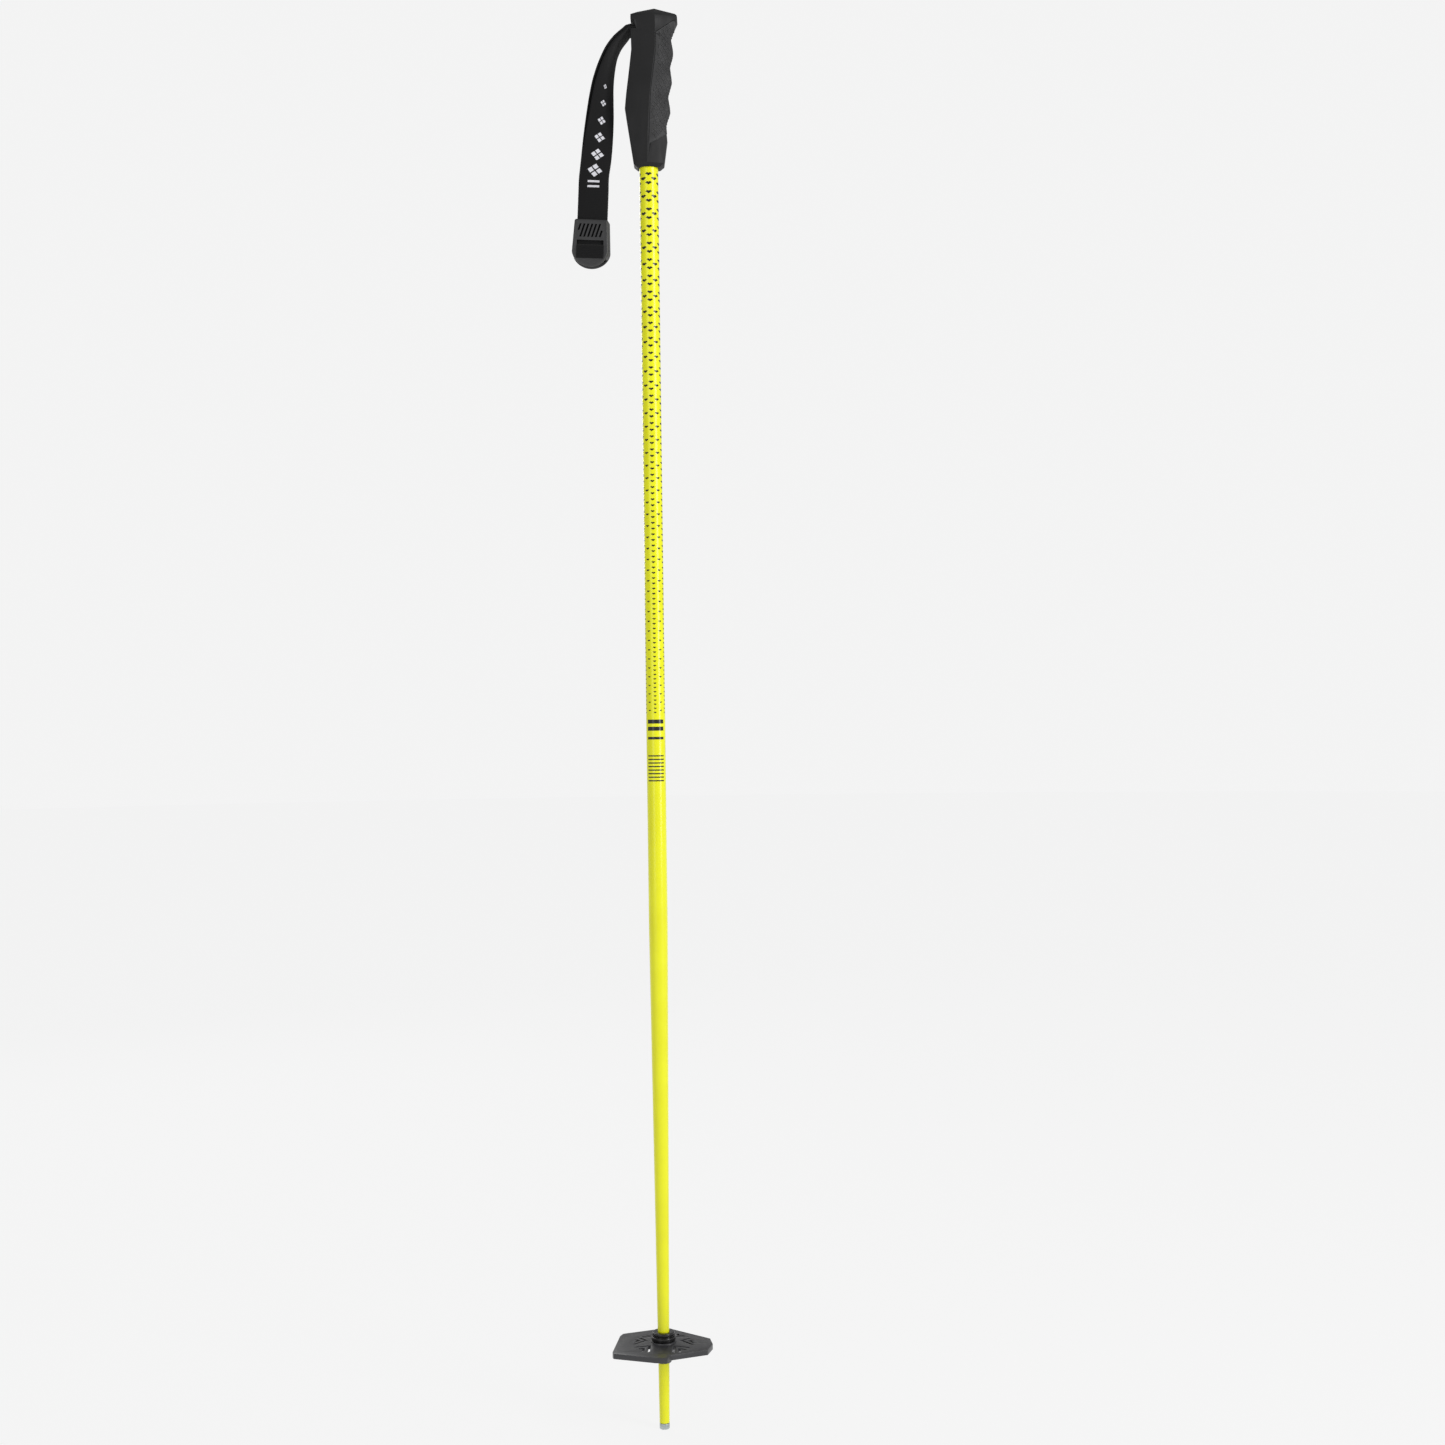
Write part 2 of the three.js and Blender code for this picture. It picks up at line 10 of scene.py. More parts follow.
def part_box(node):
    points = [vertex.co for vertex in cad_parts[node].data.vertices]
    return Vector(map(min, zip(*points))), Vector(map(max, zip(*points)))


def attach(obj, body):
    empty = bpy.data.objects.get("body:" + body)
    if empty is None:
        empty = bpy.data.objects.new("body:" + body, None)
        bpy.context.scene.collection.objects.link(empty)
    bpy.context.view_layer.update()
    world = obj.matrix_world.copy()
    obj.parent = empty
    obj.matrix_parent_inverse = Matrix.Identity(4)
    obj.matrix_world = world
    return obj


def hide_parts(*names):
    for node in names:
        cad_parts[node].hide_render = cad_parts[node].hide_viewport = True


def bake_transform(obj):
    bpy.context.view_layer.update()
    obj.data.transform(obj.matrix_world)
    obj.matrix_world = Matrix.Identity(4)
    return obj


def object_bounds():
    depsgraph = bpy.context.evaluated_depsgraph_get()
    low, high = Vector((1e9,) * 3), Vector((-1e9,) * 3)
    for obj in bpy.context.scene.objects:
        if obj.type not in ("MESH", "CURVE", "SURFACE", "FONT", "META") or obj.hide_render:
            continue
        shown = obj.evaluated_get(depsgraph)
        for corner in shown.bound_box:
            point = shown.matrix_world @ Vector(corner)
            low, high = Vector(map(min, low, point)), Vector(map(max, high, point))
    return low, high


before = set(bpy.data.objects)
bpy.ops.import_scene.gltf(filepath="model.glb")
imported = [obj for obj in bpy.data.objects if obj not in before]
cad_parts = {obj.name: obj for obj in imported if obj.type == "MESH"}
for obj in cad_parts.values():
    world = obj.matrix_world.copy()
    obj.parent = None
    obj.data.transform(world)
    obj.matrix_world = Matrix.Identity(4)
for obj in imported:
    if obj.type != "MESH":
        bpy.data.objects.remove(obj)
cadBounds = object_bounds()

# A ski pole standing on its tip: +Z up, strap on the -X side, finger grooves on the +X side.
# Lengths are in metres.


# Camera, light and floor

viewpoint = {
    "distance": 1.6,
    "sideways": 0.0566,
    "height": 0.598,
    "roll": 0.73,  # degrees
    "lens": 47,
    "clipStart": 0.05,
}


def placeCamera():
    data = bpy.data.cameras.new("front_camera")
    data.lens = viewpoint["lens"]
    data.clip_start = viewpoint["clipStart"]
    camera = bpy.data.objects.new("front_camera", data)
    camera.location = (viewpoint["sideways"], -viewpoint["distance"], viewpoint["height"])
    camera.rotation_euler = (math.radians(90), math.radians(viewpoint["roll"]), 0)
    bpy.context.collection.objects.link(camera)
    bpy.context.scene.camera = camera


studioLights = {  # place, aim, size in metres, power in watts
    "key_softbox": {"place": (1.5, -1.1, 1.2), "aim": (0, 0, 0.65), "size": (0.6, 1.7), "power": 26},
    "fill_softbox": {"place": (-1.2, -2.0, 1.0), "aim": (0, 0, 0.6), "size": (1.0, 1.6), "power": 8},
    "rim_softbox": {"place": (-0.9, 1.7, 1.5), "aim": (0, 0, 0.7), "size": (0.9, 1.4), "power": 10},
}
studioAir = {"seen": 0.9, "lit": 0.42}  # brightness as the camera sees it, and as it lights the pole
studioFloor = {"radius": 14, "tone": 0.06, "glow": 0.865}


def lightStudio():
    for name, facts in studioLights.items():
        data = bpy.data.lights.new(name, "AREA")
        data.shape = "RECTANGLE"
        data.size, data.size_y = facts["size"]
        data.energy = facts["power"]
        light = bpy.data.objects.new(name, data)
        light.location = facts["place"]
        direction = Vector(facts["aim"]) - Vector(facts["place"])
        light.rotation_euler = direction.to_track_quat("-Z", "Y").to_euler()
        bpy.context.collection.objects.link(light)
    world = bpy.data.worlds.new("studio_air")
    world.use_nodes = True
    tree = world.node_tree
    background = tree.nodes["Background"]
    background.inputs["Color"].default_value = (1, 1, 1, 1)
    seen = tree.nodes.new("ShaderNodeMapRange")
    tree.links.new(tree.nodes.new("ShaderNodeLightPath").outputs["Is Camera Ray"], seen.inputs["Value"])
    seen.inputs["To Min"].default_value = studioAir["lit"]
    seen.inputs["To Max"].default_value = studioAir["seen"]
    tree.links.new(seen.outputs["Result"], background.inputs["Strength"])
    bpy.context.scene.world = world
    bpy.context.scene.view_settings.view_transform = "Standard"


def layFloor():
    bm = bmesh.new()
    bmesh.ops.create_circle(bm, cap_ends=True, segments=64, radius=studioFloor["radius"])
    mesh = bpy.data.meshes.new("studio_floor")
    bm.to_mesh(mesh)
    bm.free()
    floor = bpy.data.objects.new("studio_floor", mesh)
    floor.location.z = cadBounds[0].z
    material = bpy.data.materials.new("pale_floor")
    material.use_nodes = True
    shader = material.node_tree.nodes["Principled BSDF"]
    shader.inputs["Base Color"].default_value = (*[studioFloor["tone"]] * 3, 1)
    shader.inputs["Roughness"].default_value = 1.0
    shader.inputs["Specular IOR Level"].default_value = 0.0
    shader.inputs["Emission Color"].default_value = (1, 1, 1, 1)
    shader.inputs["Emission Strength"].default_value = studioFloor["glow"]
    mesh.materials.append(material)
    bpy.context.collection.objects.link(floor)


placeCamera()
lightStudio()
layFloor()
print("studio is set")


# Node helpers

def addNode(tree, kind, settings=None, **inputs):
    node = tree.nodes.new("ShaderNode" + kind)
    for key, value in (settings or {}).items():
        setattr(node, key, value)
    for key, value in inputs.items():
        plug(tree, value, node.inputs[key.replace("_", " ")])
    return node


def plug(tree, value, socket):
    if isinstance(value, bpy.types.NodeSocket):
        tree.links.new(value, socket)
    else:
        socket.default_value = value


def calc(tree, operation, *values):
    node = tree.nodes.new("ShaderNodeMath")
    node.operation = operation
    for value, socket in zip(values, node.inputs):
        plug(tree, value, socket)
    return node.outputs[0]


def remap(tree, value, low, high, toLow=0.0, toHigh=1.0):
    node = addNode(tree, "MapRange", Value=value)
    for name, number in (("From Min", low), ("From Max", high), ("To Min", toLow), ("To Max", toHigh)):
        node.inputs[name].default_value = number
    return node.outputs["Result"]


def mixColours(tree, factor, first, second):
    node = tree.nodes.new("ShaderNodeMix")
    node.data_type = "RGBA"
    plug(tree, factor, node.inputs[0])
    for value, socket in ((first, node.inputs[6]), (second, node.inputs[7])):  # the colour sockets
        plug(tree, value, socket)
    return node.outputs[2]


def startGroup(name, inputs, outputs):
    group = bpy.data.node_groups.new(name, "ShaderNodeTree")
    for label, kind, value in inputs:
        socket = group.interface.new_socket(label, in_out="INPUT", socket_type=kind)
        socket.default_value = value
    for label, kind in outputs:
        group.interface.new_socket(label, in_out="OUTPUT", socket_type=kind)
    return group, group.nodes.new("NodeGroupInput").outputs, group.nodes.new("NodeGroupOutput").inputs


def placeGroup(tree, group, **inputs):
    node = tree.nodes.new("ShaderNodeGroup")
    node.node_tree = group
    for key, value in inputs.items():
        plug(tree, value, node.inputs[key])
    return node.outputs


# Effects shared by the materials

def buildMouldedGrain():
    group, given, result = startGroup(
        "mouldedGrain",
        [("Scale", "NodeSocketFloat", 1500.0), ("Patch Scale", "NodeSocketFloat", 40.0)],
        [("Height", "NodeSocketFloat"), ("Mottle", "NodeSocketFloat"), ("Smudge", "NodeSocketFloat")],
    )
    place = group.nodes.new("ShaderNodeTexCoord").outputs["Object"]
    fine = addNode(group, "TexNoise", Vector=place, Scale=given["Scale"], Detail=3.0)
    cells = addNode(group, "TexVoronoi", Vector=place, Scale=given["Scale"])
    patches = addNode(group, "TexNoise", Vector=place, Scale=given["Patch Scale"], Detail=4.0)
    upright = addNode(group, "Mapping", Vector=place, Scale=(1.0, 1.0, 0.22))  # smears run upwards
    smears = addNode(group, "TexNoise", Vector=upright.outputs[0], Scale=170.0, Detail=5.0)
    pebbles = calc(group, "SUBTRACT", 1.0, cells.outputs["Distance"])
    height = calc(group, "ADD", calc(group, "MULTIPLY", fine.outputs["Fac"], 0.5), pebbles)
    plug(group, height, result["Height"])
    plug(group, remap(group, patches.outputs["Fac"], 0.3, 0.7), result["Mottle"])
    plug(group, remap(group, smears.outputs["Fac"], 0.42, 0.72), result["Smudge"])
    return group


def buildEdgeWear():
    group, given, result = startGroup(
        "edgeWear",
        [("Radius", "NodeSocketFloat", 0.0006), ("Breakup", "NodeSocketFloat", 260.0)],
        [("Mask", "NodeSocketFloat")],
    )
    place = group.nodes.new("ShaderNodeTexCoord").outputs["Object"]
    rounded = addNode(group, "Bevel", {"samples": 6}, Radius=given["Radius"])
    facing = group.nodes.new("ShaderNodeNewGeometry").outputs["Normal"]
    likeness = addNode(group, "VectorMath", {"operation": "DOT_PRODUCT"})
    group.links.new(rounded.outputs[0], likeness.inputs[0])
    group.links.new(facing, likeness.inputs[1])
    edge = remap(group, likeness.outputs["Value"], 0.995, 0.9)  # from nearly flat to a clear edge
    chips = addNode(group, "TexNoise", Vector=place, Scale=given["Breakup"], Detail=6.0)
    broken = remap(group, chips.outputs["Fac"], 0.38, 0.62)
    plug(group, calc(group, "MULTIPLY", edge, broken), result["Mask"])
    return group


# Speckles on upward faces, turned towards a pale grey: partly dust, partly painted light on the tops of
# things.
def buildDustAndTopLight():
    group, given, result = startGroup(
        "dustAndTopLight",
        [("Amount", "NodeSocketFloat", 0.3)],
        [("Mask", "NodeSocketFloat")],
    )
    place = group.nodes.new("ShaderNodeTexCoord").outputs["Object"]
    normal = group.nodes.new("ShaderNodeNewGeometry").outputs["Normal"]
    upward = remap(group, addNode(group, "SeparateXYZ", Vector=normal).outputs["Z"], 0.1, 1.0)
    specks = addNode(group, "TexNoise", Vector=place, Scale=420.0, Detail=8.0, Roughness=0.75)
    speckled = remap(group, specks.outputs["Fac"], 0.52, 0.75)
    settled = calc(group, "MULTIPLY", upward, speckled)
    plug(group, calc(group, "MULTIPLY", settled, given["Amount"]), result["Mask"])
    return group


def buildWeave():
    group, given, result = startGroup(
        "weave",
        [("Flat", "NodeSocketVector", (0, 0, 0)), ("Rib Pitch", "NodeSocketFloat", 0.0014)],
        [("Height", "NodeSocketFloat"), ("Tone", "NodeSocketFloat")],
    )
    flat = addNode(group, "SeparateXYZ", Vector=given["Flat"])
    across, along = flat.outputs["X"], flat.outputs["Y"]
    turn, yarnPitch = 2 * math.pi, 0.0008
    ribPhase = calc(group, "MULTIPLY", calc(group, "DIVIDE", along, given["Rib Pitch"]), turn)
    yarnPhase = calc(group, "MULTIPLY", across, turn / yarnPitch)
    ribs = calc(group, "SINE", ribPhase)
    shifted = calc(group, "ADD", yarnPhase, calc(group, "MULTIPLY", ribPhase, 0.5))  # half a yarn each rib
    yarns = calc(group, "SINE", shifted)
    crossing = calc(group, "MULTIPLY", ribs, yarns)
    fuzz = addNode(group, "TexNoise", Vector=given["Flat"], Scale=2600.0, Detail=4.0)
    height = calc(group, "ADD", calc(group, "MULTIPLY", crossing, 0.35), fuzz.outputs["Fac"])
    plug(group, height, result["Height"])
    tone = calc(group, "ADD", calc(group, "MULTIPLY", yarns, 0.25), calc(group, "MULTIPLY", ribs, 0.25))
    plug(group, remap(group, calc(group, "ADD", tone, fuzz.outputs["Fac"]), 0.0, 1.1), result["Tone"])
    return group


mouldedGrain = buildMouldedGrain()
edgeWear = buildEdgeWear()
dustAndTopLight = buildDustAndTopLight()
weave = buildWeave()
print("shared effects are built")


# Materials

def startMaterial(name, roughness, **constants):
    material = bpy.data.materials.new(name)
    material.use_nodes = True
    tree = material.node_tree
    shader = tree.nodes["Principled BSDF"]
    shader.inputs["Roughness"].default_value = roughness
    for key, value in constants.items():
        shader.inputs[key.replace("_", " ")].default_value = value
    return material, tree, shader.inputs


def bumpFrom(tree, height, strength, distance):
    node = addNode(tree, "Bump", Height=height, Strength=strength, Distance=distance)
    return node.outputs["Normal"]


def grey(level, tint):
    return (level, level, level * tint, 1)


plasticWear = {
    "mottle": (0.86, 1.14),  # the darkest and lightest shares of the plastic's own level
    "rubbedGain": 2.6,
    "rubbedLift": 0.02,
    "rubbedShine": 0.1,
    "smudged": (1.08, 0.86),  # shares of the roughness
    "dustAndTopLightColour": (0.4, 0.39, 0.37, 1),
    "grainDepth": 0.00012,
}


def makePlastic(name, facts):
    material, tree, sockets = startMaterial(name, facts["roughness"], Specular_IOR_Level=facts["gloss"])
    grain = placeGroup(tree, mouldedGrain, Scale=facts["grainScale"])
    worn = placeGroup(tree, edgeWear, Radius=facts["wearRadius"])["Mask"]
    dustyAndTopLit = placeGroup(tree, dustAndTopLight, Amount=facts["dustAndTopLight"])["Mask"]
    level, tint = facts["level"], facts.get("tint", 1.04)
    dark, light = (grey(level * share, tint) for share in plasticWear["mottle"])
    plain = mixColours(tree, grain["Mottle"], dark, light)
    bare = grey(level * plasticWear["rubbedGain"] + plasticWear["rubbedLift"], tint)
    rubbed = mixColours(tree, calc(tree, "MULTIPLY", worn, facts["wear"]), plain, bare)
    # upward faces are mixed towards pale grey: dust, and painted light on the tops
    plug(tree, mixColours(tree, dustyAndTopLit, rubbed, plasticWear["dustAndTopLightColour"]), sockets["Base Color"])
    dull, shiny = (facts["roughness"] * share for share in plasticWear["smudged"])
    rough = remap(tree, grain["Smudge"], 0.0, 1.0, dull, shiny)
    shine = calc(tree, "MULTIPLY", worn, plasticWear["rubbedShine"])
    plug(tree, calc(tree, "SUBTRACT", rough, shine), sockets["Roughness"])
    bump = bumpFrom(tree, grain["Height"], facts["grain"], plasticWear["grainDepth"])
    plug(tree, bump, sockets["Normal"])
    return material


plastics = {
    "gripHard": {"level": 0.0115, "roughness": 0.56, "gloss": 0.24, "grainScale": 1700.0, "grain": 0.35,
                 "wear": 0.3, "wearRadius": 0.0007, "dustAndTopLight": 0.05},
    "gripRubber": {"level": 0.022, "roughness": 0.6, "gloss": 0.34, "grainScale": 2600.0, "grain": 0.3,
                   "wear": 0.35, "wearRadius": 0.0003, "dustAndTopLight": 0.04},
    "buckleBlack": {"level": 0.027, "roughness": 0.4, "gloss": 0.45, "grainScale": 2200.0, "grain": 0.25,
                    "wear": 0.35, "wearRadius": 0.0004, "dustAndTopLight": 0.04},
    # the basket's larger amount is painted light that makes its deck lighter than its wall, as light from
    # above would
    "basketGrey": {"level": 0.032, "roughness": 0.34, "gloss": 0.5, "grainScale": 1500.0, "grain": 0.16,
                   "wear": 0.3, "wearRadius": 0.0006, "dustAndTopLight": 0.14, "tint": 1.1},
    "collarBlack": {"level": 0.006, "roughness": 0.22, "gloss": 0.5, "grainScale": 900.0, "grain": 0.08,
                    "wear": 0.25, "wearRadius": 0.0003, "dustAndTopLight": 0.04},
}
finishes = {name: makePlastic(name, facts) for name, facts in plastics.items()}
print("plastics are mixed")


bareMetal = (0.55, 0.56, 0.58)
paint = {
    "yellow": (0.79, 0.8, 0.008, 1),
    "deep": (0.74, 0.735, 0.004, 1),
    "ink": (0.012, 0.012, 0.01, 1),
    "top": 1.068,  # height where the print starts, under the grip
    "bottom": 0.606,  # and where it ends
    "topPeriod": 0.0153,  # height of one band of the print at its top
    "bottomPeriod": 0.0068,
    "rows": 4.0,  # in a band, the last of them blank
    "columns": 10,
    "markWidth": 0.6,
    "markHeight": 0.5,
    "notch": (0.42, 0.62),  # how far up the notch over each mark lies, and its size beside the mark
    "bars": [(0.5995, 0.0034), (0.5935, 0.0034), (0.5855, 0.0022)],  # height and thickness
    "fineBars": (0.573, 0.549, 8),  # from, to, count
    "fineBarShare": 0.36,  # of the spacing of the fine bars
    "barReach": 0.95,  # half angle of the bars, in radians
    "grainScale": 700.0,
    "wearRadius": 0.0005,
    "smudged": (0.36, 0.29),  # roughness
    "inkHeight": 0.6,
    "grainHeight": 0.06,
    "depth": 0.00006,
}


def bandOf(tree, value, middle, half):
    away = calc(tree, "ABSOLUTE", calc(tree, "SUBTRACT", value, middle))
    return calc(tree, "LESS_THAN", away, half)


def paintedPrint(tree, angle, height):
    growth = (paint["topPeriod"] - paint["bottomPeriod"]) / (paint["top"] - paint["bottom"])
    climbed = calc(tree, "SUBTRACT", height, paint["bottom"])
    period = calc(tree, "ADD", calc(tree, "MULTIPLY", climbed, growth), paint["bottomPeriod"])
    share = calc(tree, "DIVIDE", period, paint["topPeriod"])
    natural = calc(tree, "LOGARITHM", calc(tree, "MAXIMUM", share, 0.01), math.e)
    rows = calc(tree, "MULTIPLY", calc(tree, "DIVIDE", natural, growth), paint["rows"])
    row = calc(tree, "FLOOR", rows)
    up = calc(tree, "SUBTRACT", calc(tree, "FRACT", rows), 0.5)
    kind = calc(tree, "FLOORED_MODULO", row, paint["rows"])
    step = 2 * math.pi / paint["columns"]
    column = calc(tree, "ADD", calc(tree, "DIVIDE", angle, step), calc(tree, "ADD", kind, 1.0))
    beside = calc(tree, "ABSOLUTE", calc(tree, "SUBTRACT", calc(tree, "FLOORED_MODULO", column, 2.0), 1.0))
    sideways = calc(tree, "DIVIDE", beside, calc(tree, "MULTIPLY", share, paint["markWidth"]))
    upright = calc(tree, "DIVIDE", calc(tree, "ABSOLUTE", up), paint["markHeight"])
    diamond = calc(tree, "LESS_THAN", calc(tree, "ADD", sideways, upright), 1.0)
    lift, size = paint["notch"]
    fromNotch = calc(tree, "ABSOLUTE", calc(tree, "SUBTRACT", up, lift))
    notch = calc(tree, "ADD", sideways, calc(tree, "DIVIDE", fromNotch, paint["markHeight"]))
    chevron = calc(tree, "MULTIPLY", diamond, calc(tree, "GREATER_THAN", notch, size))
    printed = calc(tree, "MULTIPLY", chevron, calc(tree, "LESS_THAN", kind, paint["rows"] - 1.5))
    return calc(tree, "MULTIPLY", printed, calc(tree, "GREATER_THAN", height, paint["bottom"]))


def paintedBars(tree, angle, height):
    front = calc(tree, "LESS_THAN", calc(tree, "ABSOLUTE", angle), paint["barReach"])
    bars = None
    for middle, thickness in paint["bars"]:
        bar = bandOf(tree, height, middle, thickness / 2)
        bars = bar if bars is None else calc(tree, "MAXIMUM", bars, bar)
    start, end, count = paint["fineBars"]
    spacing = (start - end) / count
    fine = calc(tree, "FRACT", calc(tree, "DIVIDE", height, spacing))
    within = bandOf(tree, height, (start + end) / 2, (start - end) / 2)
    thin = calc(tree, "MULTIPLY", calc(tree, "LESS_THAN", fine, paint["fineBarShare"]), within)
    return calc(tree, "MULTIPLY", calc(tree, "MAXIMUM", bars, thin), front)


def makeYellowPaint():
    material, tree, sockets = startMaterial(
        "yellowPaint", 0.34, Specular_IOR_Level=0.12, Coat_Weight=0.65, Coat_Roughness=0.2, Coat_IOR=1.5
    )
    place = tree.nodes.new("ShaderNodeTexCoord").outputs["Object"]
    x, y, height = addNode(tree, "SeparateXYZ", Vector=place).outputs
    angle = calc(tree, "ARCTAN2", x, calc(tree, "MULTIPLY", y, -1.0))
    ink = calc(tree, "MAXIMUM", paintedPrint(tree, angle, height), paintedBars(tree, angle, height))
    grain = placeGroup(tree, mouldedGrain, Scale=paint["grainScale"])
    worn = placeGroup(tree, edgeWear, Radius=paint["wearRadius"])["Mask"]
    coat = mixColours(tree, grain["Mottle"], paint["deep"], paint["yellow"])
    printed = mixColours(tree, ink, coat, paint["ink"])
    plug(tree, mixColours(tree, worn, printed, (*bareMetal, 1)), sockets["Base Color"])
    plug(tree, remap(tree, grain["Smudge"], 0.0, 1.0, *paint["smudged"]), sockets["Roughness"])
    inked = calc(tree, "MULTIPLY", ink, paint["inkHeight"])
    grained = calc(tree, "MULTIPLY", grain["Height"], paint["grainHeight"])
    plug(tree, bumpFrom(tree, calc(tree, "ADD", inked, grained), 0.4, paint["depth"]), sockets["Normal"])
    return material


metals = {  # colour, roughness, and how much finer the turning marks are along the pole
    "tipSteel": ((0.54, 0.6, 0.6), 0.34, 14.0),
    "pinSteel": (bareMetal, 0.3, 1.0),
    "hardInsert": ((0.2, 0.21, 0.22), 0.38, 6.0),
}
turning = {
    "scale": 220.0,
    "dullShare": 0.7,  # of the colour, in the darker marks
    "smudged": (1.3, 0.8),  # shares of the roughness
    "depth": 0.00008,
    "wearRadius": 0.0004,
    "rubbedColour": (0.9, 0.9, 0.9, 1),
}


def makeMetal(name, colour, roughness, fineness):
    material, tree, sockets = startMaterial(name, roughness, Metallic=1.0)
    place = tree.nodes.new("ShaderNodeTexCoord").outputs["Object"]
    turned = addNode(tree, "Mapping", Vector=place, Scale=(1.0, 1.0, fineness))
    lathe = addNode(tree, "TexNoise", Vector=turned.outputs[0], Scale=turning["scale"], Detail=5.0)
    worn = placeGroup(tree, edgeWear, Radius=turning["wearRadius"])["Mask"]
    dull = tuple(turning["dullShare"] * part for part in colour)
    base = mixColours(tree, remap(tree, lathe.outputs["Fac"], 0.35, 0.7), (*dull, 1), (*colour, 1))
    plug(tree, mixColours(tree, worn, base, turning["rubbedColour"]), sockets["Base Color"])
    rough, smooth = (roughness * share for share in turning["smudged"])
    plug(tree, remap(tree, lathe.outputs["Fac"], 0.3, 0.7, rough, smooth), sockets["Roughness"])
    plug(tree, bumpFrom(tree, lathe.outputs["Fac"], 0.3, turning["depth"]), sockets["Normal"])
    return material


finishes["yellowPaint"] = makeYellowPaint()
for name, facts in metals.items():
    finishes[name] = makeMetal(name, *facts)
print("paint and metals are mixed")


# Building helpers

def finishPiece(bm, name, finish, body, replaced=(), sharpest=32):
    mesh = bpy.data.meshes.new(name)
    bm.to_mesh(mesh)
    bm.free()
    mesh.materials.append(finishes[finish])
    mesh.shade_smooth()
    mesh.set_sharp_from_angle(angle=math.radians(sharpest))
    piece = bpy.data.objects.new(name, mesh)
    bpy.context.collection.objects.link(piece)
    if replaced:
        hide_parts(*replaced)
    if body:
        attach(piece, body)
    return piece


def copyOfNode(node, joined=1.5e-5, flatter=0.6):
    # Corners nearer than joined become one, and faces that meet at less than flatter degrees become one.
    bm = bmesh.new()
    bm.from_mesh(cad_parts[node].data)
    bmesh.ops.remove_doubles(bm, verts=bm.verts, dist=joined)
    bmesh.ops.recalc_face_normals(bm, faces=bm.faces)
    bmesh.ops.dissolve_limit(bm, angle_limit=math.radians(flatter), verts=bm.verts, edges=bm.edges)
    return bm


def roundEdges(bm, radius, steeper, longer=0.0, segments=2):
    edges = [
        edge for edge in bm.edges
        if edge.is_manifold and edge.calc_length() > longer
        and edge.calc_face_angle() > math.radians(steeper)
    ]
    bmesh.ops.bevel(
        bm, geom=edges, offset=radius, segments=segments, affect="EDGES", profile=0.5, material=-1,
        clamp_overlap=True,
    )


def turnProfile(profile, steps=96):
    bm = bmesh.new()
    corners = [bm.verts.new((radius, 0, height)) for radius, height in profile]
    rim = [bm.edges.new(pair) for pair in zip(corners, corners[1:] + corners[:1])]
    bmesh.ops.spin(
        bm, geom=corners + rim, axis=(0, 0, 1), cent=(0, 0, 0), steps=steps, angle=2 * math.pi,
        use_merge=True,
    )
    bmesh.ops.remove_doubles(bm, verts=bm.verts, dist=1e-7)
    bmesh.ops.recalc_face_normals(bm, faces=bm.faces)
    return bm


# Tube

tube = {"wall": 0.0012, "taperTop": 0.427, "endRadius": 0.00425, "endBore": 0.00275, "lip": 0.0002}


def makeTube():
    low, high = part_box("shaft")
    radius = high.x
    bore = radius - tube["wall"]
    lip = tube["lip"]
    bm = turnProfile([
        (tube["endRadius"] - lip, low.z),
        (tube["endRadius"], low.z + lip),
        (radius, tube["taperTop"]),
        (radius, high.z - lip),
        (radius - lip, high.z),
        (bore, high.z),
        (bore, tube["taperTop"]),
        (tube["endBore"], low.z),
    ])
    finishPiece(bm, "painted_tube", "yellowPaint", "pole", ["shaft"])


makeTube()
print("tube is made")


# Grip

grip = {
    "ridgeRadius": 0.0011,
    "seamRadius": 0.00012,
    "axis": 0.004,  # x of the line that the sweeps round the grip look at
    "farOut": 0.06,  # where each look starts from, well outside the grip
    "touching": 1e-4,  # nearer than this, a look has met the pad and not the body
    "reach": 0.04,  # the furthest that the lattice may lie round from the front
    "diamondWidth": 0.0047,
    "diamondHeight": 0.0051,
    "groove": 0.00026,
    "relief": 0.0004,
    "dish": 0.0005,
    "edge": 0.0005,  # kept plain inside the pad's border
    "clearance": 0.00004,  # of the lattice over the pad
    "backing": 0.0005,
    "wallShare": 0.5,  # width of a diamond's sloping sides, as a share of the relief
    "dishShare": 0.4,  # the same for its dish's sides
    "dishDrop": 0.6,  # and the dish's depth
}


def makeGripBody():
    bm = copyOfNode("grip_body")
    roundEdges(bm, grip["ridgeRadius"], steeper=9, longer=0.004, segments=3)
    finishPiece(bm, "grip_moulding", "gripHard", "pole", ["grip_body"], sharpest=40)


def makeGripPad():
    bm = copyOfNode("grip_front_pad")
    roundEdges(bm, grip["seamRadius"], steeper=30, longer=0.002)
    finishPiece(bm, "grip_pad", "gripRubber", "pole", ["grip_front_pad"], sharpest=40)


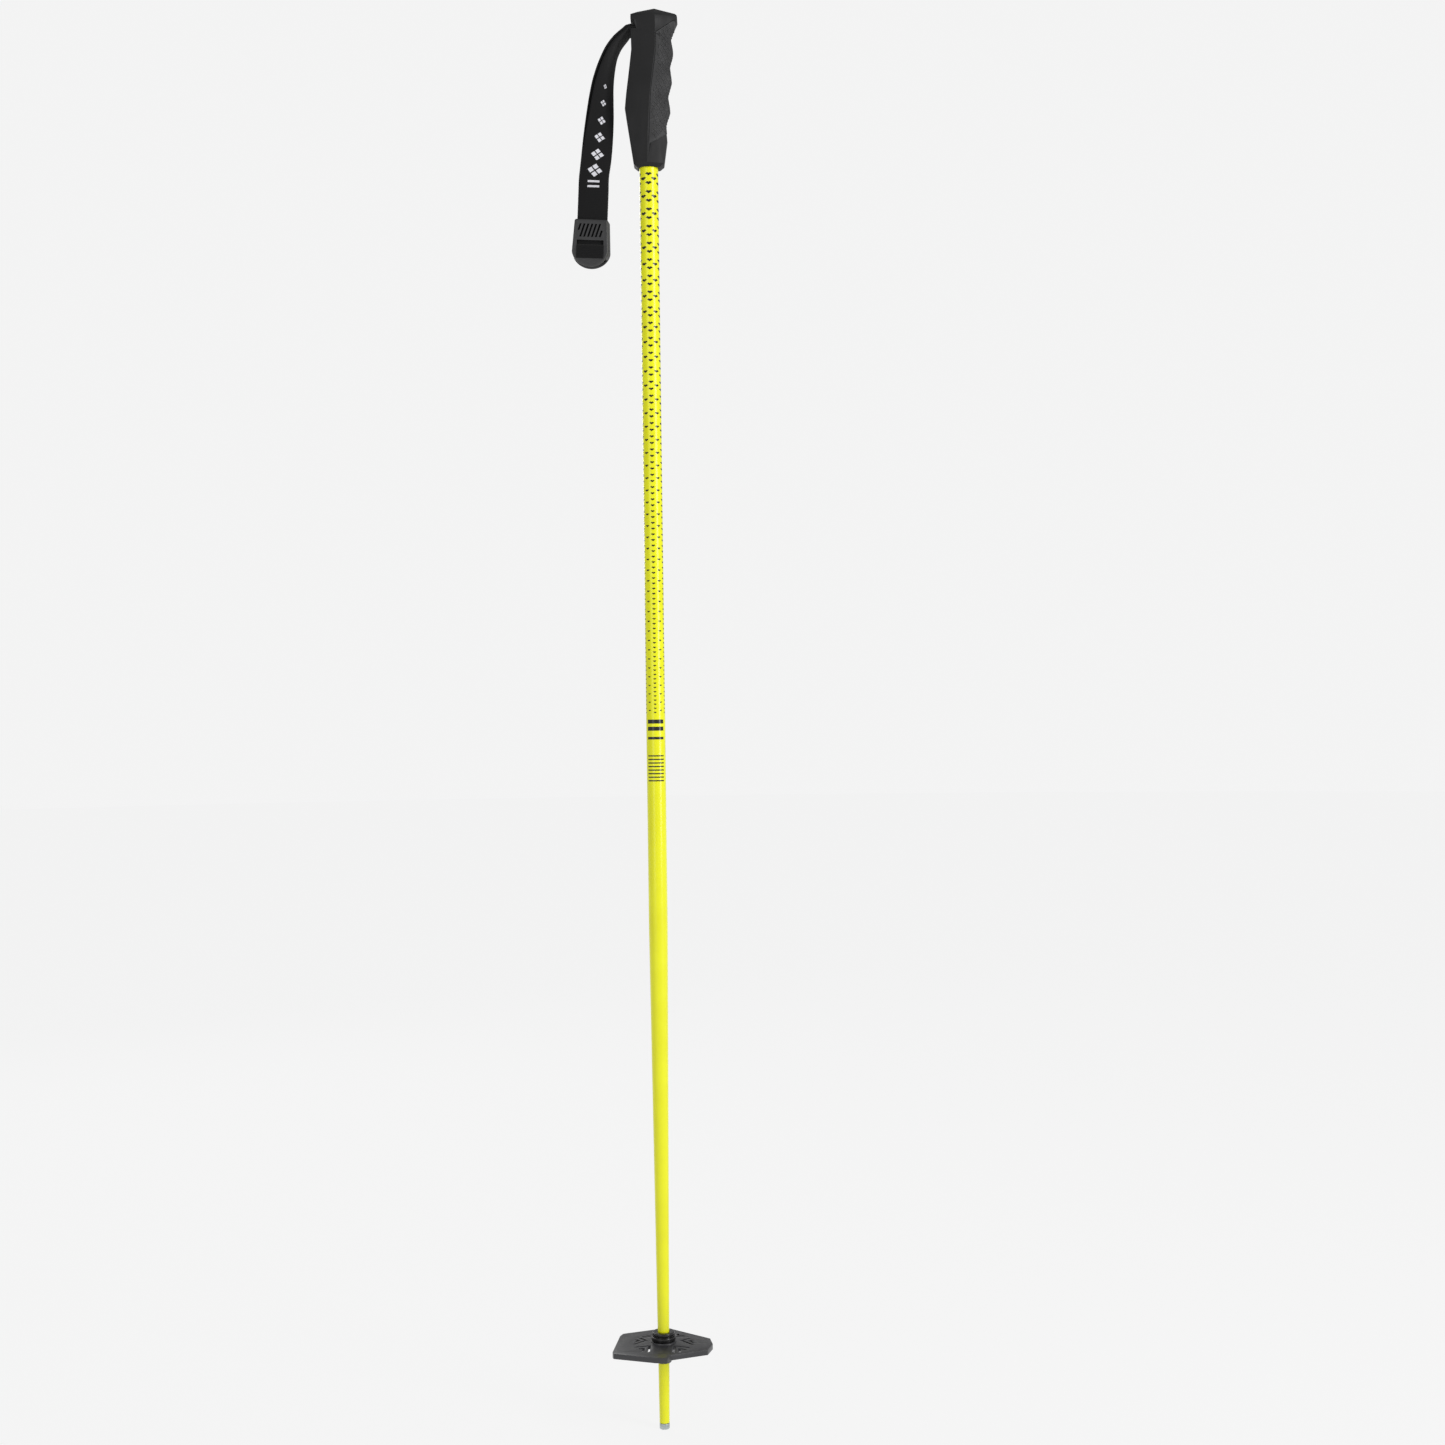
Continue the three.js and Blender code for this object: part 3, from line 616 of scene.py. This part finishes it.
class GripSkin:
    # The grip's outer surface, found by distance round it from the middle of its front and by height.
    def __init__(self, nodes, wanted):
        self.whole = self.treeOf(nodes)
        self.wanted = self.treeOf([wanted])
        self.contours = {}

    def treeOf(self, nodes):
        bm = bmesh.new()
        for node in nodes:
            bm.from_mesh(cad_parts[node].data)
        tree = BVHTree.FromBMesh(bm)
        bm.free()
        return tree

    def contour(self, height):
        key = round(height, 6)
        if key not in self.contours:
            self.contours[key] = [self.sweep(height, way) for way in (1, -1)]
        return self.contours[key]

    def sweep(self, height, way):
        points, travelled = [], 0.0
        for degrees in range(0, 181, 2):
            angle = math.radians(degrees) * way
            outward = Vector((math.cos(angle), math.sin(angle), 0))
            start = Vector((grip["axis"], 0, height)) + outward * grip["farOut"]
            place, normal = self.whole.ray_cast(start, -outward)[:2]
            if place is None:
                break
            there = self.wanted.ray_cast(start, -outward)[0]
            onIt = there is not None and (there - place).length < grip["touching"]
            if points:
                travelled += (place - points[-1][1]).length
            points.append((travelled, place, normal, onIt))
        return points

    def at(self, distance, height):
        points = self.contour(height)[0 if distance >= 0 else 1]
        reach = abs(distance)
        for before, after in zip(points, points[1:]):
            if before[0] <= reach <= after[0]:
                if not (before[3] and after[3]):
                    return None
                share = (reach - before[0]) / max(after[0] - before[0], 1e-9)
                return before[1].lerp(after[1], share), before[2].lerp(after[2], share).normalized()
        return None

    def isInside(self, distance, height):
        margin = grip["edge"]
        around = [(distance + margin, height), (distance - margin, height), (distance, height + margin),
                  (distance, height - margin)]
        return all(self.at(*place) is not None for place in around)


def makePadDiamonds(skin):
    # A lattice of raised, dished diamonds over the pad.
    low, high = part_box("grip_body")
    wide, tall, relief = grip["diamondWidth"], grip["diamondHeight"], grip["relief"]
    count = 2 * math.ceil((high.z - low.z) / tall)
    bm = bmesh.new()
    side = count * wide / math.sqrt(2)  # of the square lattice before it is turned
    bmesh.ops.create_grid(bm, x_segments=count, y_segments=count, size=side / 2)
    bmesh.ops.rotate(bm, verts=bm.verts, cent=(0, 0, 0), matrix=Matrix.Rotation(math.radians(45), 3, "Z"))
    bmesh.ops.scale(bm, verts=bm.verts, vec=(1, tall / wide, 1))
    middle = (low.z + high.z) / 2
    outside = [
        vert for vert in bm.verts
        if not (abs(vert.co.x) <= grip["reach"] and low.z < vert.co.y + middle < high.z
                and skin.isInside(vert.co.x, vert.co.y + middle))
    ]
    bmesh.ops.delete(bm, geom=outside, context="VERTS")
    bmesh.ops.delete(bm, geom=[vert for vert in bm.verts if not vert.link_faces], context="VERTS")
    for vert in bm.verts:
        place, normal = skin.at(vert.co.x, vert.co.y + middle)
        vert.co = place + normal * grip["clearance"]
    bmesh.ops.recalc_face_normals(bm, faces=bm.faces)
    if sum(face.normal.y * face.calc_center_median().y for face in bm.faces) < 0:
        bmesh.ops.reverse_faces(bm, faces=bm.faces)
    cells = list(bm.faces)
    insets = [  # thickness and depth: groove, side, rim and dish
        (grip["groove"], 0), (relief * grip["wallShare"], relief), (grip["dish"], 0),
        (relief * grip["dishShare"], -relief * grip["dishDrop"]),
    ]
    for thickness, depth in insets:
        bmesh.ops.inset_individual(bm, faces=cells, thickness=thickness, depth=depth, use_even_offset=True)
    bmesh.ops.solidify(bm, geom=bm.faces, thickness=grip["backing"])
    finishPiece(bm, "grip_pad_diamonds", "gripRubber", "pole", sharpest=25)


makeGripBody()
makeGripPad()
makePadDiamonds(GripSkin(["grip_body", "grip_front_pad"], "grip_front_pad"))
print("grip is made")


# Strap

strap = {
    "width": 0.025,
    "thickness": 0.0016,
    "ribPitch": 0.0014,
    "ribHeight": 0.00016,
    "stationsPerRib": 4,
    "ribbedBelow": 1.05,  # the ribs are flatter above this height
    "flatRibShare": 0.45,
    "toothDepth": 0.00022,
    "slotPitch": 0.0021,  # between the middles of the two layers in the grip's slot
    "loopPitch": 0.0062,  # and where the strap is straight
    "pinDistance": 0.0033,  # from the pin's axis to the middle of the webbing round it
    "foldSide": (-0.0135, -0.009, -0.003),  # x of the points on the way to the pin
    "foldTurn": (110, 75, 40, 0, -40, -75, -110),  # degrees round the pin
    "lean": 2.86,  # degrees
    "straightBelow": 0.148,  # below the top of the pole
    "straightStart": 0.01,  # the line is already drawn straight from this much above it
    "end": 0.2092,
    "ease": 0.05,  # how gently the twist starts
    "innerFlat": 0.1,  # the inner face lies this far beside the outer one in the flat pattern
    "bumpDepth": 0.00015,
    "darkYarn": (0.0015, 0.0015, 0.0016, 1),
    "lightYarn": (0.0068, 0.0068, 0.0074, 1),
    "route": [  # x, and the drop below the top of the pole
        (-0.0163, 0.0151), (-0.0189, 0.018), (-0.0225, 0.0216), (-0.0263, 0.0262), (-0.0309, 0.0344),
        (-0.0349, 0.0467), (-0.0377, 0.0595), (-0.0393, 0.0723), (-0.0409, 0.0895), (-0.0426, 0.1062),
        (-0.0444, 0.123),
    ],
}


def smoothLine(points, perPiece):
    line = []
    count = len(points)
    for index in range(count - 1):
        start, end = points[index], points[index + 1]
        leaving = (end - points[max(index - 1, 0)]) / 2
        arriving = (points[min(index + 2, count - 1)] - start) / 2
        for step in range(perPiece):
            t = step / perPiece
            line.append(
                start * (2 * t ** 3 - 3 * t ** 2 + 1) + leaving * (t ** 3 - 2 * t ** 2 + t)
                + end * (3 * t ** 2 - 2 * t ** 3) + arriving * (t ** 3 - t ** 2)
            )
    return line + [points[-1]]


def strapStations():
    top = cadBounds[1].z
    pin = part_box("strap_dowel")
    pinX, pinZ = (pin[0].x + pin[1].x) / 2, (pin[0].z + pin[1].z) / 2
    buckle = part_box("strap_buckle")
    middleX, middleZ = (buckle[0].x + buckle[1].x) / 2, (buckle[0].z + buckle[1].z) / 2
    straightTop = top - strap["straightBelow"]
    upper, lower = straightTop + strap["straightStart"], top - strap["end"]
    slope = math.tan(math.radians(strap["lean"]))
    points = [Vector((x, 0, top - drop)) for x, drop in strap["route"]]
    for step in range(6):
        height = upper + (lower - upper) * step / 5
        points.append(Vector((middleX - (middleZ - height) * slope, 0, height)))
    middle = smoothLine(points, perPiece=30)
    across = Vector((0, 1, 0))
    layers = {1: [], -1: []}
    for index, point in enumerate(middle):
        tangent = (middle[min(index + 1, len(middle) - 1)] - middle[max(index - 1, 0)]).normalized()
        rise = min(max((point.z - straightTop) / (pinZ - straightTop), 0), 1)
        twist = math.pi / 2 * (1 + strap["ease"]) * rise ** 2 / (rise + strap["ease"])
        side = tangent.cross(across).normalized()
        width = (side * math.cos(twist) + across * math.sin(twist)).normalized()
        face = tangent.cross(width)
        pitch = strap["loopPitch"] + (strap["slotPitch"] - strap["loopPitch"]) * rise
        for layer, stations in layers.items():
            stations.append((point + face * (layer * pitch / 2), width))
    reach, half = strap["pinDistance"], strap["slotPitch"] / 2
    fold = [Vector((x, 0, pinZ + half)) for x in strap["foldSide"]]
    for degrees in strap["foldTurn"]:
        angle = math.radians(degrees)
        fold.append(Vector((pinX + reach * math.cos(angle), 0, pinZ + reach * math.sin(angle))))
    fold += [Vector((point.x, 0, 2 * pinZ - point.z)) for point in fold[2::-1]]
    inside = [(point, across) for point in smoothLine(fold, perPiece=12)]
    return layers[-1][::-1] + inside + layers[1]


def evenly(stations, spacing):
    even = [stations[0]]
    travelled, wanted = 0.0, spacing
    for (start, startWidth), (end, endWidth) in zip(stations, stations[1:]):
        length = (end - start).length
        while length > 0 and travelled + length >= wanted:
            share = (wanted - travelled) / length
            even.append((start.lerp(end, share), startWidth.lerp(endWidth, share).normalized()))
            wanted += spacing
        travelled += length
    return even


def webbingSection(width, thickness):
    # The selvedge is given by the way in from the edge and the share of half the thickness there.
    half, deep = width / 2, thickness / 2
    selvedge = [(0, 0), (0.0002, 0.6), (0.0006, 0.86), (0.0016, 0.8), (0.0022, 1)]
    left = [(-half + inward, deep * share) for inward, share in selvedge]
    right = [(-x, y) for x, y in left[:0:-1]]
    side = left + [(-half / 3, deep), (half / 3, deep)] + right
    return side + [(-x, -y) for x, y in side]


def makeStrap(stations, spacing):
    section = webbingSection(strap["width"], strap["thickness"])
    around, along = len(section), len(stations) - 1
    bm = bmesh.new()
    flat = bm.loops.layers.uv.new("flat")
    bmesh.ops.create_grid(bm, x_segments=around, y_segments=along, size=0.5, calc_uvs=True)
    for face in bm.faces:
        for loop in face.loops:
            u, v = loop[flat].uv
            sideways = section[round(u * around) % around][0]
            beside = 0 if u < 0.49 else strap["innerFlat"]  # the outer face comes first round the section
            loop[flat].uv = (sideways + beside, v * along * spacing)
    for vert in bm.verts:
        turn = round((vert.co.x + 0.5) * around) % around
        index = round((vert.co.y + 0.5) * along)
        centre, width = stations[index]
        ahead = stations[min(index + 1, along)][0] - stations[max(index - 1, 0)][0]
        outward = ahead.normalized().cross(width)
        phase = math.sin(2 * math.pi * index / strap["stationsPerRib"] + math.pi / 4)
        depth = strap["ribHeight"] * (1 if centre.z < strap["ribbedBelow"] else strap["flatRibShare"])
        x, y = section[turn]
        if abs(y) > strap["thickness"] * 0.35:  # on a face, not on the selvedge
            y += math.copysign(depth * phase / 2, y)
        else:
            x += math.copysign(strap["toothDepth"] * (phase - 1) / 2, x)
        vert.co = centre + width * x + outward * y
    bmesh.ops.remove_doubles(bm, verts=bm.verts, dist=1e-6)
    bmesh.ops.holes_fill(bm, edges=[edge for edge in bm.edges if edge.is_boundary], sides=0)
    bmesh.ops.recalc_face_normals(bm, faces=bm.faces)
    nodes = ["strap_near_web", "strap_far_web", "strap_anchor_web"]
    piece = finishPiece(bm, "wrist_strap", "webbing", None, nodes, sharpest=60)
    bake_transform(piece)


strapPrint = {
    "marks": [  # height of each diamond's middle and its half width
        (1.1383, 0.0024), (1.1239, 0.0032), (1.109, 0.004),
        (1.0946, 0.0048), (1.08, 0.0056), (1.0668, 0.0063),
    ],
    "squash": 0.9,  # half height of a diamond beside its half width
    "parting": 0.13,  # half width of the lines that part a diamond in four
    "bars": [(1.0572, 0.005), (1.0532, 0.005)],  # height of each bar's middle and its half width
    "barThickness": 0.0017,
    "thread": (0.62, 0.62, 0.66, 1),
    "sunken": (0.72, 1.0),  # how much of the thread shows between the yarns, and on them
}


def lengthAt(stations, spacing, height):
    lastHalf = range(len(stations) // 2, len(stations))  # the near layer
    return spacing * min(lastHalf, key=lambda index: abs(stations[index][0].z - height))


def printedThread(tree, flat, stations, spacing):
    place = addNode(tree, "SeparateXYZ", Vector=flat)
    across, along = place.outputs["X"], place.outputs["Y"]
    printed = None
    for height, half in strapPrint["marks"]:
        x = calc(tree, "DIVIDE", across, half)
        up = calc(tree, "SUBTRACT", along, lengthAt(stations, spacing, height))
        y = calc(tree, "DIVIDE", up, half * strapPrint["squash"])
        rising = calc(tree, "ABSOLUTE", calc(tree, "ADD", x, y))
        falling = calc(tree, "ABSOLUTE", calc(tree, "SUBTRACT", x, y))
        within = calc(tree, "LESS_THAN", calc(tree, "MAXIMUM", rising, falling), 1.0)
        parting = calc(tree, "MINIMUM", rising, falling)
        parted = calc(tree, "GREATER_THAN", parting, strapPrint["parting"])
        mark = calc(tree, "MULTIPLY", within, parted)
        printed = mark if printed is None else calc(tree, "MAXIMUM", printed, mark)
    for height, half in strapPrint["bars"]:
        level = lengthAt(stations, spacing, height)
        bar = calc(
            tree, "MULTIPLY", bandOf(tree, along, level, strapPrint["barThickness"] / 2),
            calc(tree, "LESS_THAN", calc(tree, "ABSOLUTE", across), half),
        )
        printed = calc(tree, "MAXIMUM", printed, bar)
    return printed


def makeWebbing(stations, spacing):
    material, tree, sockets = startMaterial("webbing", 0.85, Specular_IOR_Level=0.2, Sheen_Weight=0.08)
    flat = tree.nodes.new("ShaderNodeUVMap")
    flat.uv_map = "flat"
    cloth = placeGroup(tree, weave, Flat=flat.outputs[0])
    colour = mixColours(tree, cloth["Tone"], strap["darkYarn"], strap["lightYarn"])
    printed = printedThread(tree, flat.outputs[0], stations, spacing)
    covering = remap(tree, cloth["Tone"], 0.0, 0.5, *strapPrint["sunken"])
    shown = calc(tree, "MULTIPLY", printed, covering)
    plug(tree, mixColours(tree, shown, colour, strapPrint["thread"]), sockets["Base Color"])
    plug(tree, bumpFrom(tree, cloth["Height"], 0.6, strap["bumpDepth"]), sockets["Normal"])
    return material


ribSpacing = strap["ribPitch"] / strap["stationsPerRib"]
webbingLine = evenly(strapStations(), ribSpacing)
finishes["webbing"] = makeWebbing(webbingLine, ribSpacing)
makeStrap(webbingLine, ribSpacing)
print("strap is made")


# Buckle

buckle = {
    "height": 0.04,
    "depth": 0.0116,
    "topHalf": 0.013,
    "shoulder": (0.0148, 0.0018),  # half width, and the drop below the top
    "shoulderPulls": ((0.014, 0), (0.0147, 0.0007)),  # the same for the handles of its bend
    "widest": (0.0162, -0.007),  # half width and height
    "chinPulls": ((0.0158, 0.0065), (0.009, 0)),  # half width and height over the bottom
    "draft": 0.91,  # share of its half width that the front keeps on the strap's outer side
    "rounding": 0.0024,
    "cutRounding": 0.00028,
    "overlap": 0.00001,  # of the cuts that meet
    "boreHalf": (0.0129, 0.0042),
    "railBottom": -0.0128,
    "window": (-0.0122, 0.0105, -0.0132, 0.0022),  # left, right, low, high
    "bar": (0.0022, 0.0147, -0.0057),  # radius and half length of its hole, and its height
    "slotCount": 7,
    "slotPitch": 0.0033,
    "slotWidth": 0.0017,
    "slotSlant": 0.3,
    "slotSpan": (0.0048, 0.016),
    "slotShift": -0.0012,
}


def bentLine(points, steps):
    return interpolate_bezier(*(Vector((x, 0, z)) for x, z in points), steps)


def buckleBlank():
    top = buckle["height"] / 2
    drops = [(buckle["topHalf"], 0), *buckle["shoulderPulls"], buckle["shoulder"]]
    shoulder = bentLine([(x, top - drop) for x, drop in drops], 10)
    pulls = [(x, rise - top) for x, rise in buckle["chinPulls"]]
    chin = bentLine([buckle["widest"], *pulls, (0, -top)], 20)
    right = shoulder + chin
    left = [Vector((-point.x, 0, point.z)) for point in reversed(right[:-1])]
    half = buckle["depth"] / 2
    bm = bmesh.new()
    face = bm.faces.new([bm.verts.new((point.x, half, point.z)) for point in right + left])
    pushed = bmesh.ops.extrude_face_region(bm, geom=[face])["geom"]
    front = [part for part in pushed if isinstance(part, bmesh.types.BMVert)]
    bmesh.ops.translate(bm, verts=front, vec=(0, -buckle["depth"], 0))
    bmesh.ops.scale(bm, verts=[vert for vert in front if vert.co.x > 0], vec=(buckle["draft"], 1, 1))
    bmesh.ops.recalc_face_normals(bm, faces=bm.faces)
    rims = [edge for edge in bm.edges if abs(edge.verts[0].co.y - edge.verts[1].co.y) < 1e-6]
    bmesh.ops.bevel(
        bm, geom=rims, offset=buckle["rounding"], segments=5, affect="EDGES", profile=0.5, material=-1,
        clamp_overlap=True,
    )
    return bm


def cutBox(bm, low, high):
    size = Vector(high) - Vector(low)
    place = Matrix.Translation((Vector(low) + Vector(high)) / 2) @ Matrix.Diagonal((*size, 1))
    bmesh.ops.create_cube(bm, size=1, matrix=place)


def buckleCuts():
    far = buckle["height"]
    wide, deep = buckle["boreHalf"]
    left, right, low, high = buckle["window"]
    radius, half, barHeight = buckle["bar"]
    bore, mouth, window, hole, slots = (bmesh.new() for _ in range(5))
    cutBox(bore, (-wide, -deep, buckle["railBottom"]), (wide, deep, far))
    cutBox(mouth, (-far, -deep, -far), (far, deep, buckle["railBottom"] + buckle["overlap"]))
    cutBox(window, (left, -far, low), (right, far, high))
    lying = Matrix.Translation((0, 0, barHeight)) @ Matrix.Rotation(math.pi / 2, 4, "Y")
    bmesh.ops.create_cone(
        hole, cap_ends=True, segments=24, radius1=radius, radius2=radius, depth=2 * half, matrix=lying
    )
    bottom, top = buckle["slotSpan"]
    middle = (bottom + top) / 2
    for index in range(buckle["slotCount"]):
        x = (index - (buckle["slotCount"] - 1) / 2) * buckle["slotPitch"] + buckle["slotShift"]
        start = middle if index == 0 else bottom
        end = middle if index == buckle["slotCount"] - 1 else top
        before = set(slots.verts)
        cutBox(slots, (-buckle["slotWidth"] / 2, -far, start), (buckle["slotWidth"] / 2, -deep / 2, end))
        for vert in set(slots.verts) - before:
            vert.co.x += x + buckle["slotSlant"] * (vert.co.z - middle)
    return [bore, mouth, window, hole, slots]


def cutAway(bm, cutters):
    # The cutters are taken from the solid one after another.
    spare = []
    for cutter in [bm] + cutters:
        mesh = bpy.data.meshes.new("spare")
        cutter.to_mesh(mesh)
        cutter.free()
        spare.append(bpy.data.objects.new("spare", mesh))
        bpy.context.collection.objects.link(spare[-1])
    for cutter in spare[1:]:
        cut = spare[0].modifiers.new("cut", "BOOLEAN")
        cut.operation = "DIFFERENCE"
        cut.solver = "EXACT"
        cut.object = cutter
    result = bmesh.new()
    result.from_object(spare[0], bpy.context.evaluated_depsgraph_get())
    for thing in spare:
        mesh = thing.data
        bpy.data.objects.remove(thing)
        bpy.data.meshes.remove(mesh)
    bmesh.ops.remove_doubles(result, verts=result.verts, dist=1e-6)
    return result


def leaning(nodeName):
    low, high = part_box(nodeName)
    return Matrix.Translation((low + high) / 2) @ Matrix.Rotation(math.radians(strap["lean"]), 4, "Y")


def makeBuckle():
    bm = cutAway(buckleBlank(), buckleCuts())
    roundEdges(bm, buckle["cutRounding"], steeper=50, longer=0.0005)
    bmesh.ops.transform(bm, verts=bm.verts, matrix=leaning("strap_buckle"))
    finishPiece(bm, "buckle_moulding", "buckleBlack", "buckle", ["strap_buckle"])


bulge = {
    "swell": 0.0026,
    "thickness": 0.0013,
    "height": 0.0122,
    "drop": 0.0012,  # of its middle below the window's
    "shift": -0.0011,
    "narrower": 0.001,
    "seat": 0.0004,  # of its edges, in front of the CAD solid's back
    "ribHeight": 0.00018,
    "facesPerRib": 6,
    "flatStart": 0.02,  # where it lies along the webbing's flat pattern
}


def makeBulge():
    low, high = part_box("strap_bar_bulge")
    middle = (low + high) / 2
    width = high.x - low.x - bulge["narrower"]
    ribs = round(bulge["height"] / strap["ribPitch"])
    bm = bmesh.new()
    flat = bm.loops.layers.uv.new("flat")
    bmesh.ops.create_grid(
        bm, x_segments=12, y_segments=ribs * bulge["facesPerRib"], size=0.5, calc_uvs=True
    )
    for face in bm.faces:
        for loop in face.loops:
            u, v = loop[flat].uv
            loop[flat].uv = ((u - 0.5) * width, bulge["flatStart"] + v * bulge["height"])
    slope = math.tan(math.radians(strap["lean"]))
    for vert in bm.verts:
        x, t = vert.co.x * width, vert.co.y
        rib = math.cos(2 * math.pi * ribs * t) * bulge["ribHeight"] / 2
        swell = bulge["swell"] * math.sqrt(max(1 - (2 * t) ** 4, 0)) + rib
        height = t * bulge["height"] - bulge["drop"]
        x += bulge["shift"]
        out = high.y - bulge["seat"] - swell
        vert.co = (middle.x + x + height * slope, out, middle.z + height - x * slope)
    bmesh.ops.recalc_face_normals(bm, faces=bm.faces)
    if sum(face.normal.y for face in bm.faces) > 0:
        bmesh.ops.reverse_faces(bm, faces=bm.faces)
    bmesh.ops.solidify(bm, geom=bm.faces, thickness=bulge["thickness"])
    finishPiece(bm, "bar_webbing", "webbing", "buckle", ["strap_bar_bulge"], sharpest=60)


makeBuckle()
makeBulge()
print("buckle is made")


# Basket

basket = {"edgeRadius": 0.0004, "steeper": 25, "longer": 0.0008}


def makeBasket():
    bm = copyOfNode("basket_deck")
    roundEdges(bm, basket["edgeRadius"], basket["steeper"], basket["longer"])
    finishPiece(bm, "basket_moulding", "basketGrey", "basket", ["basket_deck"], sharpest=40)


makeBasket()
print("basket is made")


# Turned and inner pieces

smallPieces = {  # node: name, finish, body, slot, edge radius
    "basket_collar": ("collar_rings", "collarBlack", "basket_mount", "collar", 0.00025),
    "basket_retainer": ("retaining_ring", "collarBlack", "basket_mount", "collar", 0.00025),
    "tip_ferrule": ("steel_tip", "tipSteel", "pole", "steel", 0.00012),
    "carbide_insert": ("hard_insert", "hardInsert", "pole", "carbide", 0.00008),
    "shaft_plug": ("tube_stopper", "gripHard", "pole", "grip_hard", 0.0002),
    "strap_dowel": ("strap_pin", "pinSteel", "pole", "steel", 0.0002),
    "strap_wedge": ("toothed_wedge", "gripHard", "pole", "grip_hard", 0.0001),
    "buckle_bar": ("buckle_pin", "pinSteel", "buckle", "steel", 0.0002),
}


def makeSmallPieces():
    for node, (name, finish, body, slot, radius) in smallPieces.items():
        bm = copyOfNode(node)
        roundEdges(bm, radius, steeper=30)
        finishPiece(bm, name, finish, body, [node])


makeSmallPieces()
print("small pieces are made")
